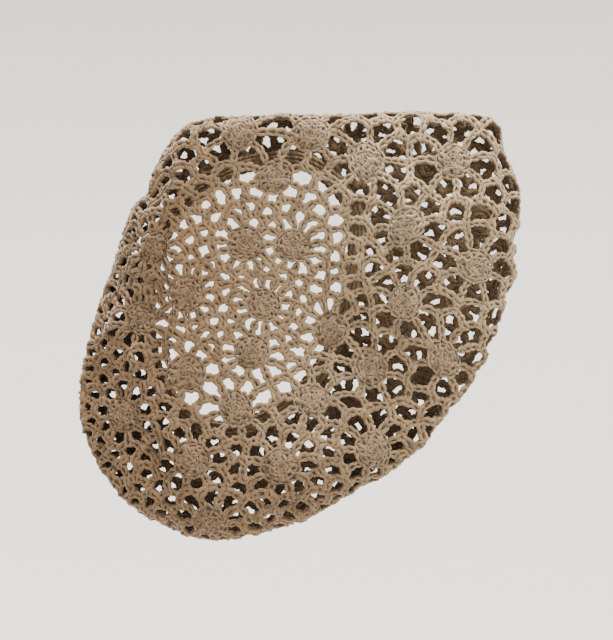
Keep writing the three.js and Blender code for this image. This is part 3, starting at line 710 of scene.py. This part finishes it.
def chain(mesh, path, normal=(0, 0, 1), closed=False, size=1.0, pitch=PITCH, no_painted_shade_behind=False):
    """Chain stitches along a path of points; the last flag gives their inner side the same painted shade as
    the outer side, not the darker painted shade of an inner side.
    """
    path = np.asarray(path, dtype=float)
    if closed:
        path = np.concatenate([path, path[:1]])
    normal = np.broadcast_to(normal, path.shape) if np.ndim(normal) == 1 else normal
    if closed and len(normal) < len(path):
        normal = np.concatenate([normal, normal[:1]])
    reached = np.concatenate([[0], np.cumsum(np.linalg.norm(np.diff(path, axis=0), axis=1))])
    length = reached[-1]
    stitches = max(1, round(length / (pitch * size)))
    local = np.concatenate([ONE_STITCH[:-1] + (i * PITCH, 0, 0) for i in range(stitches)])
    if not closed:
        local = np.concatenate([local, ONE_STITCH[-1:] + ((stitches - 1) * PITCH, 0, 0)])
    x = local[..., 0] * length / (stitches * PITCH)
    at = np.mod(x, length) if closed else np.clip(x, 0, length)
    tangents = np.gradient(path, reached, axis=0)
    if closed:
        ends_tangent = path[1] - path[-2]
        tangents[0] = tangents[-1] = ends_tangent / np.linalg.norm(ends_tangent)
    tangents = unit(tangents)
    point, tangent, up = (
        np.stack([np.interp(at, reached, values[:, axis]) for axis in range(3)], axis=-1)
        for values in (path, tangents, normal)
    )
    tangent = unit(tangent)
    up = unit(up - tangent * (up * tangent).sum(axis=-1, keepdims=True))
    across = np.cross(up, tangent)
    beyond = 0 if closed else (x - at)[..., None]
    y = local[..., 1:2] * size
    z = local[..., 2:3] * size
    mesh.tube(point + tangent * beyond + across * y + up * z, abs(z) if no_painted_shade_behind else z, closed)


# Layout of the net

def cut(polygon, nx, ny, limit, label):
    """Keeps the part of a polygon where nx x + ny y is at most limit; a corner has its next side's label."""
    kept = []
    count = len(polygon)
    for i in range(count):
        x, y, own = polygon[i]
        qx, qy, unused = polygon[(i + 1) % count]
        a = nx * x + ny * y - limit
        b = nx * qx + ny * qy - limit
        if a <= 0:
            kept.append((x, y, own))
            if b > 0:
                share = a / (a - b)
                kept.append((x + (qx - x) * share, y + (qy - y) * share, label))
        elif b <= 0:
            share = a / (a - b)
            kept.append((x + (qx - x) * share, y + (qy - y) * share, own))
    return kept


def power_cells(seeds, weights, reach):
    """Each seed's cell: what is nearer to it than to any other, by power distance."""
    cells = []
    for i, (sx, sy) in enumerate(seeds):
        away = seeds - seeds[i]
        squared = (away ** 2).sum(axis=1)
        near = np.nonzero((squared < (2 * reach) ** 2) & (squared > 0))[0]
        near = near[np.argsort(squared[near])]
        corners = ((-1, -1), (1, -1), (1, 1), (-1, 1))
        polygon = [(sx + reach * x, sy + reach * y, -1) for x, y in corners]
        for j in near:
            distance = math.sqrt(squared[j])
            nx, ny = away[j] / distance
            middle = (squared[j] + weights[i] ** 2 - weights[j] ** 2) / (2 * distance)
            polygon = cut(polygon, nx, ny, nx * sx + ny * sy + middle, int(j))
        cells.append(polygon)
    return cells


def centroid(polygon):
    xs = np.array([corner[0] for corner in polygon])
    ys = np.array([corner[1] for corner in polygon])
    next_xs, next_ys = np.roll(xs, -1), np.roll(ys, -1)
    cross = xs * next_ys - next_xs * ys
    six_areas = cross.sum() * 3
    return ((xs + next_xs) * cross).sum() / six_areas, ((ys + next_ys) * cross).sum() / six_areas


def inside(point, polygon):
    """Whether a point lies inside a polygon."""
    x, y = point
    ahead = np.roll(polygon, -1, axis=0)
    rise = ahead[:, 1] - polygon[:, 1]
    crosses = (polygon[:, 1] > y) != (ahead[:, 1] > y)
    at = polygon[:, 0] + (ahead[:, 0] - polygon[:, 0]) * (y - polygon[:, 1]) / np.where(rise == 0, 1, rise)
    return bool((crosses & (x < at)).sum() % 2)


def lay_seeds(rosettes, edge, size, scale_at):
    """Middles of the net's cells: a ring round each rosette, and the rest scattered evenly between them."""
    size = np.array(size)
    wanted = []
    for middle in rosettes:
        near = size * scale_at(middle)
        ring = ROSETTE_RADIUS + near.mean() / 2
        count = round(2 * math.pi * ring / near.mean())
        first = rng.uniform(0, 2 * math.pi)
        for k in range(count):
            turn = first + 2 * math.pi * k / count
            wanted.append(middle + np.array([math.cos(turn), math.sin(turn)]) * ring)
    low = edge.min(axis=0) - SEED_MARGIN * size
    high = edge.max(axis=0) + SEED_MARGIN * size
    scattered = int((high - low).prod() / size.prod() * SEED_TRIES)
    wanted.extend(rng.uniform(low, high, (scattered, 2)))
    kept = np.empty((0, 2))
    for at in wanted:
        near = size * scale_at(at)
        if np.linalg.norm(rosettes - at, axis=1).min() < ROSETTE_RADIUS + near[1] * SEED_ROOM:
            continue
        if not len(kept) or np.linalg.norm((kept - at) / near, axis=1).min() > SEED_SPACING:
            kept = np.concatenate([kept, [at]])
    return kept


def net_graph(rosettes, edge, hole, size, scale_at):
    """The net spread flat: the two ends of each strand, and the places of the knots."""
    squash = size[0] * HEXAGON / size[1]
    seeds = np.concatenate([rosettes, lay_seeds(rosettes, edge, size, scale_at)]) * (1, squash)
    weights = np.zeros(len(seeds))
    weights[:len(rosettes)] = ROSETTE_WEIGHT
    reach = CELL_REACH * size[0]
    for unused in range(RELAX_ROUNDS):
        cells = power_cells(seeds, weights, reach)
        for i in range(len(rosettes), len(seeds)):
            if len(cells[i]) > 2 and all(label >= 0 for *unused, label in cells[i]):
                seeds[i] = centroid(cells[i])
    cells = power_cells(seeds, weights, reach)
    joints = {}
    strands = {}
    for i, cell in enumerate(cells):
        for k, (x, y, label) in enumerate(cell):
            before = cell[k - 1][2]
            after_x, after_y, after_label = cell[(k + 1) % len(cell)]
            if before < 0 or label < 0 or after_label < 0:
                continue
            start = tuple(sorted((i, before, label)))
            end = tuple(sorted((i, label, after_label)))
            joints.setdefault(start, []).append((x, y / squash))
            joints.setdefault(end, []).append((after_x, after_y / squash))
            strands[tuple(sorted((i, label)))] = (start, end)
    joints = {key: np.mean(found, axis=0) for key, found in joints.items()}
    count = len(rosettes)

    # joints that lie close together become one
    merged = {key: key for key in joints}

    def root(key):
        while merged[key] != key:
            key = merged[key]
        return key

    for pair, (start, end) in strands.items():
        a, b = root(start), root(end)
        short = np.linalg.norm(joints[a] - joints[b]) < SHORTEST_STRAND
        if a != b and short and min(pair) >= count:
            merged[b] = a
            joints[a] = (joints[a] + joints[b]) / 2

    # joints beside a rosette lie on its rim
    touching = {}
    for key in merged:
        touching.setdefault(root(key), set()).update(i for i in key if i < count)
    for key, owners in touching.items():
        if owners:
            owner = min(owners, key=lambda i: np.linalg.norm(joints[key] - rosettes[i]))
            away = joints[key] - rosettes[owner]
            joints[key] = rosettes[owner] + away * (ROSETTE_RADIUS / np.linalg.norm(away))

    # strands run between the joints, and straight across where two rosettes are close
    runs = []
    for pair, (start, end) in strands.items():
        a, b = root(start), root(end)
        if a != b and pair[0] >= count:
            runs.append((a, b))
        elif pair[1] < count:
            way = rosettes[pair[1]] - rosettes[pair[0]]
            gap = np.linalg.norm(way) - 2 * ROSETTE_RADIUS
            if gap < LINK_REACH * size[0]:
                way = way / np.linalg.norm(way) * ROSETTE_RADIUS
                from_key, to_key = ("link",) + pair, ("link back",) + pair
                joints[from_key] = rosettes[pair[0]] + way
                joints[to_key] = rosettes[pair[1]] - way
                runs.append((from_key, to_key))

    # strands stop where they meet the edges
    kept = []
    for a, b in runs:
        ends_at = clip_to(joints[a], joints[b], edge, True)
        if ends_at is not None and hole is not None:
            ends_at = clip_to(*ends_at, hole, False)
        if ends_at is not None:
            kept.append(ends_at)
    knots = [joints[key] for key in touching if not touching[key]]
    knots = [at for at in knots if inside(at, edge) and not (hole is not None and inside(at, hole))]
    return kept, knots


def clip_to(a, b, polygon, keep_inside):
    """The part of the line from a to b that lies inside or outside a polygon, or None."""
    a_kept = inside(a, polygon) == keep_inside
    b_kept = inside(b, polygon) == keep_inside
    if a_kept and b_kept:
        return a, b
    if not a_kept and not b_kept:
        return None
    kept, lost = (a, b) if a_kept else (b, a)
    low, high = 0.0, 1.0
    for unused in range(HALVINGS):
        half = (low + high) / 2
        if inside(kept + (lost - kept) * half, polygon) == keep_inside:
            low = half
        else:
            high = half
    edge_place = kept + (lost - kept) * low
    if np.linalg.norm(edge_place - kept) < SHORTEST_END:
        return None
    return kept, edge_place


def strand(mesh, a, b, sizes, scale):
    """A chain that bows between two joints, worked a little fuller where the net is close."""
    length = np.linalg.norm(b - a)
    across = np.array([-(b - a)[1], (b - a)[0]]) / length
    if across[1] < 0:
        across = -across
    bow = length * BOW * abs(across[1]) * rng.uniform(*BOW_RANGE)
    bow += length * rng.uniform(-BOW_STRAY, BOW_STRAY)
    t = np.linspace(0, 1, STRAND_POINTS)[:, None]
    arch = 4 * t * (1 - t)
    flat = a + (b - a) * t + across * bow * arch
    height = RELIEF * rng.uniform(*RELIEF_RANGE) * arch
    path = np.concatenate([flat, height], axis=1)
    chain(mesh, path, size=rng.uniform(*sizes) * (1 + FULLER * (1 - scale)))


def knot(mesh, at):
    """The stitch that ties strands together where they meet."""
    angle = rng.uniform(*KNOT_DIRECTION) * math.pi
    way = np.array([math.cos(angle), math.sin(angle)]) * PITCH * KNOT_REACH
    lift = rng.uniform(*KNOT_LIFT)
    path = np.array([[*(at - way), KNOT_ENDS], [*at, lift], [*(at + way), KNOT_ENDS]])
    chain(mesh, path, size=rng.uniform(*KNOT_SIZE), pitch=PITCH * 2)


def on_flat_crown(fabric, px, py):
    """Where a place of the picture lies on the crown, spread flat."""
    at = place(px, py) - crown_middle
    turn = math.atan2(at[2], at[0]) / (2 * math.pi) % 1
    shares = np.linspace(0, 1, PLACE_SAMPLES)
    points, unused = fabric.sample(np.full(PLACE_SAMPLES, turn), shares)
    across = np.hypot(points[:, 0] - crown_middle[0], points[:, 2] - crown_middle[2])
    top = across.argmax()
    share = np.interp(math.hypot(at[0], at[2]), across[:top + 1], shares[:top + 1])
    way = np.array([math.cos(turn * 2 * math.pi), math.sin(turn * 2 * math.pi)])
    return crown_middle[XZ] + way * share * join_at(turn)


# Rosettes

def dome(radius):
    """Height of a rosette's low dome."""
    return DOME * (1 - (radius / ROSETTE_RADIUS) ** 2)


def post(mesh, angle, near, far, spreads, thicks, heights, lean):
    """A tall stitch from near the middle of a rosette outward: two yarns twisted about each other."""
    out = np.array([math.cos(angle), math.sin(angle), 0])
    across = np.array([-math.sin(angle), math.cos(angle), 0])
    t = np.linspace(0, 1, POST_RINGS)
    radius = near + (far - near) * t
    spread = (spreads[0] + (spreads[1] - spreads[0]) * t)[:, None]
    thick = YARN_RADIUS * (thicks[0] + (thicks[1] - thicks[0]) * t)
    puff = heights[0] + heights[1] * np.sin(math.pi * t)
    for strand_turn in (0, math.pi):
        phase = (strand_turn + math.pi * (TWIST_START + TWIST * t + lean))[:, None]
        rise = np.sin(phase[:, 0]) * TWIST_RISE + puff
        centres = out * radius[:, None] + across * (np.cos(phase) * spread + lean * LEAN_SWAY * t[:, None])
        centres[:, 2] += rise + dome(radius)
        tangents = unit(np.gradient(centres, axis=0))
        rings = ring_directions(tangents, closing_turn=False) * thick[:, None, None]
        mesh.tube(centres[:, None] + rings, rings[..., 2] + rise[:, None])


def post_round(mesh, count, offset, far_at, kind):
    """A round of tall stitches, offset by a share of one; far_at says how far each reaches."""
    near, spreads, thicks, base, puff, stray = kind
    for i in range(count):
        angle = 2 * math.pi * (i + offset + rng.uniform(-stray, stray)) / count
        far = far_at(angle)
        heights = (rng.uniform(*base), rng.uniform(*puff))
        post(mesh, angle, near, far, spreads, thicks, heights, rng.uniform(-POST_LEAN, POST_LEAN))


def ring_path(turns, radius, height):
    return np.stack([np.cos(turns) * radius, np.sin(turns) * radius, height], axis=1)


def rosette_mesh():
    """Two rounds of tall stitches, puffed and uneven, with rounds of chain under, between and round them."""
    mesh = Mesh()
    turns = np.linspace(0, 2 * math.pi, ROUND_POINTS + 1)[:-1]
    two, three, five = (rng.uniform(-most, most) for most in OUT_OF_ROUND)
    wide = 1 + two * np.cos(2 * turns) + three * np.sin(3 * turns) + five * np.cos(5 * turns)
    radius = (RIM_RADIUS + SCALLOP * np.cos(POSTS * turns)) * wide
    lifts = rng.uniform(*RIM_LIFT, 3)
    lift = lifts[0] + lifts[1] * np.cos(turns * 2) + lifts[2] * np.cos(turns * 3)
    rim_pitch = 2 * math.pi * RIM_RADIUS / POSTS / RIM_SIZE
    chain(mesh, ring_path(turns, radius, dome(radius) + lift), closed=True, size=RIM_SIZE, pitch=rim_pitch)
    for under in UNDER_ROUNDS:
        chain(mesh, ring_path(turns, under, dome(under) - UNDER_DROP + lift), closed=True, size=RIM_SIZE)
    phase = rng.uniform(0, RIDGE_PHASE)
    wave, fine_wave = RIDGE_STRAY
    ridge = RIDGE_RADIUS * (1 + wave * np.cos(3 * turns + phase) + fine_wave * np.sin(5 * turns))
    base, rise = RIDGE_LIFT
    ridge_lift = base + rise * np.sin(4 * turns + rng.uniform(0, RIDGE_PHASE))
    chain(mesh, ring_path(turns, ridge, dome(ridge) + ridge_lift), closed=True, size=RIDGE_SIZE)
    hub_height = np.full_like(turns, dome(0) + HUB_LIFT)
    chain(mesh, ring_path(turns, HUB_RADIUS, hub_height), closed=True, size=RIDGE_SIZE)

    def outer_reach(angle):
        return POST_TO * np.interp(angle, turns, wide) * rng.uniform(*POST_REACH)

    post_round(mesh, INNER_POSTS, 0, lambda angle: RIDGE_RADIUS, INNER_ROUND)
    post_round(mesh, POSTS, 0.5, outer_reach, OUTER_ROUND)
    return mesh


# Materials

def yarn_material(name, light, dark):
    """Matt twisted yarn: patches of tone, fibre tone, fuzz in the bump, painted shade darker and browner to
    the left and below, and painted shade on the flanks and inner side of the stitches.
    """
    material = bpy.data.materials.new(name)
    material.use_nodes = True
    nodes = material.node_tree.nodes
    links = material.node_tree.links
    nodes.clear()

    def add(kind, inputs, **settings):
        """A node, with its inputs set to values or linked from other nodes."""
        node = nodes.new("ShaderNode" + kind)
        for key, value in settings.items():
            setattr(node, key, value)
        for key, value in inputs.items():
            if isinstance(value, bpy.types.NodeSocket):
                links.new(value, node.inputs[key])
            else:
                node.inputs[key].default_value = value
        return node

    def ramp(share, stops):
        """Colours between stops; the two outer stops come first."""
        node = add("ValToRGB", {"Fac": share})
        elements = node.color_ramp.elements
        for element, (at, color) in zip(elements, stops):
            element.position = at
            element.color = (*color, 1)
        for at, color in stops[2:]:
            elements.new(at).color = (*color, 1)
        return node.outputs["Color"]

    def share_of(value, span):
        """How far a value lies from the start of a span to its end, from 0 to 1."""
        return add("MapRange", {"Value": value, "From Min": span[0], "From Max": span[1]}).outputs[0]

    def multiplied(color, other, share):
        inputs = {"A": color, "B": other, "Factor": share}
        return add("Mix", inputs, data_type="RGBA", blend_type="MULTIPLY").outputs["Result"]

    where = add("TexCoord", {}).outputs["Object"]
    patches = add("TexNoise", {"Vector": where, "Scale": PATCH_SCALE, "Detail": PATCH_DETAIL}).outputs["Fac"]
    fibres = add("TexNoise", {
        "Vector": where,
        "Scale": FIBRE_SCALE,
        "Detail": FIBRE_DETAIL,
        "Roughness": FIBRE_ROUGHNESS,
    }).outputs["Fac"]
    fine = add("Math", {0: fibres, 1: FIBRE_SHARE}, operation="MULTIPLY").outputs[0]
    tone = add("Math", {0: patches, 1: PATCH_SHARE, 2: fine}, operation="MULTIPLY_ADD").outputs[0]
    color = ramp(tone, ((TONE_RANGE[0], dark), (TONE_RANGE[1], light)))

    # painted shade: browner and darker where the fabric leans back on the left and towards the bottom
    split = add("SeparateXYZ", {0: where})
    left = share_of(split.outputs["X"], PAINTED_SHADE_LEFT)
    below = share_of(split.outputs["Z"], PAINTED_SHADE_BELOW)
    painted_shade_share = add("Math", {0: left, 1: below}, operation="MAXIMUM").outputs[0]
    color = multiplied(color, (*PAINTED_SHADE_TINT, 1), painted_shade_share)

    # painted shade: the flanks and the inner side of the stitches are darkened by their height over the
    # fabric
    raised = add("Attribute", {}, attribute_name="raised").outputs["Fac"]
    color = multiplied(color, ramp(share_of(raised, (-1, 1)), PAINTED_SHADES), 1)

    fuzz = add("Bump", {"Height": fibres, "Strength": FUZZ, "Distance": FUZZ_DEPTH}).outputs["Normal"]
    shader = add("BsdfPrincipled", {
        "Base Color": color,
        "Normal": fuzz,
        "Roughness": ROUGHNESS,
        "Specular IOR Level": SPECULAR,
        "Sheen Weight": SHEEN,
        "Sheen Roughness": SHEEN_ROUGHNESS,
        "Sheen Tint": (*SHEEN_TINT, 1),
    })
    add("OutputMaterial", {0: shader.outputs[0]})
    return material


YARNS = {slot: yarn_material(slot, *tones) for slot, tones in YARN_TONES.items()}


# The pieces

def add_piece(mesh, name, slot, node):
    """Makes an object of a mesh, which rides on the one body and stands for its CAD node."""
    obj = mesh.build(name, YARNS[slot])
    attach(obj, "root")
    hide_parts(node)


crown = Crown()
side = Side()
crown_rosettes = np.array([on_flat_crown(crown, *row) for row in CROWN_ROSETTES])
side_rosettes = np.array([place(*row)[XZ] for row in SIDE_ROSETTES])
dense_middle = on_flat_crown(crown, *DENSE_MIDDLE)


def crown_scale(at):
    """How large the crown's cells are at a place."""
    away = at - dense_middle
    unused, share = crown.locate(at[None])
    left, below, fold = (
        smooth((value - start) / (stop - start))
        for value, (start, stop) in ((at[0], TIGHT_LEFT), (at[1], TIGHT_BELOW), (share[0], TIGHT_EDGE))
    )
    tight = max(left, below)
    middle = 1 - DENSER * bell(((away @ away) / DENSE_REACH ** 2) ** 2)
    return middle * (1 - TIGHTER * tight) * (1 - EDGE_TIGHTER * tight * fold)


def side_scale(at):
    """The side's cells are all of one size."""
    return 1


# the nets
split_z = crown_middle[2] - SPLIT_BELOW
for fabric, rosettes, hole, cell, scale_at, sizes, node in (
    (crown, crown_rosettes, None, CROWN_CELL, crown_scale, CROWN_STRAND, "crown_net"),
    (side, side_rosettes, side.inner, SIDE_CELL, side_scale, SIDE_STRAND, "side_net"),
):
    runs, knots = net_graph(rosettes, fabric.edge, hole, cell, scale_at)
    upper, lower = Mesh(), Mesh()
    for a, b in runs:
        middle = (a + b) / 2
        strand(upper if middle[1] > split_z else lower, a, b, sizes, scale_at(middle))
    for at in knots:
        knot(upper if at[1] > split_z else lower, at)
    for half, mesh in (("upper", upper), ("lower", lower)):
        add_piece(mesh.bent(lambda points: onto(fabric, points)), f"{node}_{half}", "yarn", node)

# the round that joins the crown to the side
all_turns = np.arange(MERIDIANS) / MERIDIANS
join_mesh = Mesh()
chain(join_mesh, *crown.sample(all_turns, np.ones(MERIDIANS)), closed=True, size=JOIN_SIZE)
add_piece(join_mesh, "join_round", "yarn", "side_net")

# rows of the band
band = Fabric(band_edges, ends, 0, 1, BAND_SAMPLES)
band_mesh = Mesh()
for row in range(BAND_ROWS):
    points, normals = band.sample(all_turns, np.full(MERIDIANS, (row + 0.5) / BAND_ROWS))
    # the band's inner side gets the same painted shade as its outer side
    chain(band_mesh, points, normals, closed=True, size=BAND_SIZE, no_painted_shade_behind=True)
add_piece(band_mesh, "band_rounds", "band_yarn", "head_band")

# rosettes
templates = [rosette_mesh() for unused in range(ROSETTE_KINDS)]
for i, at in enumerate([*crown_rosettes, *side_rosettes]):
    fabric = crown if i < len(crown_rosettes) else side
    turn = rng.uniform(0, 2 * math.pi)
    size = rng.uniform(*ROSETTE_SIZES)
    cos, sin = math.cos(turn) * size, math.sin(turn) * size
    long, short = rng.uniform(*LONG_WAY), rng.uniform(*SHORT_WAY)

    def settle(points):
        x = points[:, 0] * long * cos - points[:, 1] * short * sin
        y = points[:, 0] * long * sin + points[:, 1] * short * cos
        flat = np.stack([at[0] + x, at[1] + y, points[:, 2]], axis=1)
        return onto(fabric, flat)

    settled = templates[i % ROSETTE_KINDS].bent(settle)
    add_piece(settled, f"rosette_stitches_{i + 1:02d}", "rosette_yarn", f"rosette_{i + 1:02d}")


# Floor, light and camera

def plain_material(name, color, roughness):
    material = bpy.data.materials.new(name)
    material.use_nodes = True
    shader = material.node_tree.nodes["Principled BSDF"]
    shader.inputs["Base Color"].default_value = (*color, 1)
    shader.inputs["Roughness"].default_value = roughness
    return material


def floor():
    """A pale floor that curves up all round, so that no horizon shows."""
    section = [(0, 0), (FLAT_REACH, 0)]
    for k in range(1, CURVE_STEPS + 1):
        turn = math.radians(QUARTER_TURN) * k / CURVE_STEPS
        section.append((FLAT_REACH + CURVE * math.sin(turn), CURVE * (1 - math.cos(turn))))
    section.append((FLAT_REACH + CURVE, CURVE + FLOOR_RIM))
    mesh = bpy.data.meshes.new("floor")
    points = [(0, 0, FLOOR_DEPTH)]
    for reach, rise in section[1:]:
        for k in range(FLOOR_SIDES):
            turn = 2 * math.pi * k / FLOOR_SIDES
            points.append((reach * math.cos(turn), reach * math.sin(turn), FLOOR_DEPTH + rise))
    faces = [(0, 1 + k, 1 + (k + 1) % FLOOR_SIDES) for k in range(FLOOR_SIDES)]
    for row in range(len(section) - 2):
        for k in range(FLOOR_SIDES):
            near = 1 + row * FLOOR_SIDES
            after = (k + 1) % FLOOR_SIDES
            faces.append((near + k, near + FLOOR_SIDES + k, near + FLOOR_SIDES + after, near + after))
    mesh.from_pydata(points, [], faces)
    mesh.polygons.foreach_set("use_smooth", np.ones(len(faces), dtype=bool))
    mesh.materials.append(plain_material("floor", FLOOR_COLOR, FLOOR_ROUGHNESS))
    obj = bpy.data.objects.new("floor", mesh)
    bpy.context.collection.objects.link(obj)


def sun_light(name, towards, strength, softness, color):
    """Soft light from a direction; softness is the angle that it spreads over, in degrees."""
    data = bpy.data.lights.new(name, "SUN")
    data.energy = strength
    data.angle = math.radians(softness)
    data.color = color
    obj = bpy.data.objects.new(name, data)
    x, y, z = towards
    obj.rotation_euler = (math.atan2(math.hypot(x, y), z), 0, math.atan2(y, x) + math.pi / 2)
    bpy.context.collection.objects.link(obj)


floor()
for sun in SUNS:
    sun_light(*sun)

world = bpy.data.worlds.new("studio")
world.use_nodes = True
background = world.node_tree.nodes["Background"]
background.inputs["Color"].default_value = (*STUDIO_COLOR, 1)
background.inputs["Strength"].default_value = STUDIO_STRENGTH
bpy.context.scene.world = world

camera_data = bpy.data.cameras.new("camera")
camera_data.sensor_fit = "VERTICAL"
camera_data.sensor_height = SENSOR
camera_data.lens = SENSOR * DISTANCE / (IMAGE[1] * MM_PER_PX * METRES_PER_MM)
camera = bpy.data.objects.new("camera", camera_data)
middle = place(IMAGE[0] / 2, IMAGE[1] / 2) * METRES_PER_MM
camera.location = (middle[0], -DISTANCE, middle[2])
camera.rotation_euler = (math.radians(QUARTER_TURN), 0, 0)
bpy.context.collection.objects.link(camera)
bpy.context.scene.camera = camera
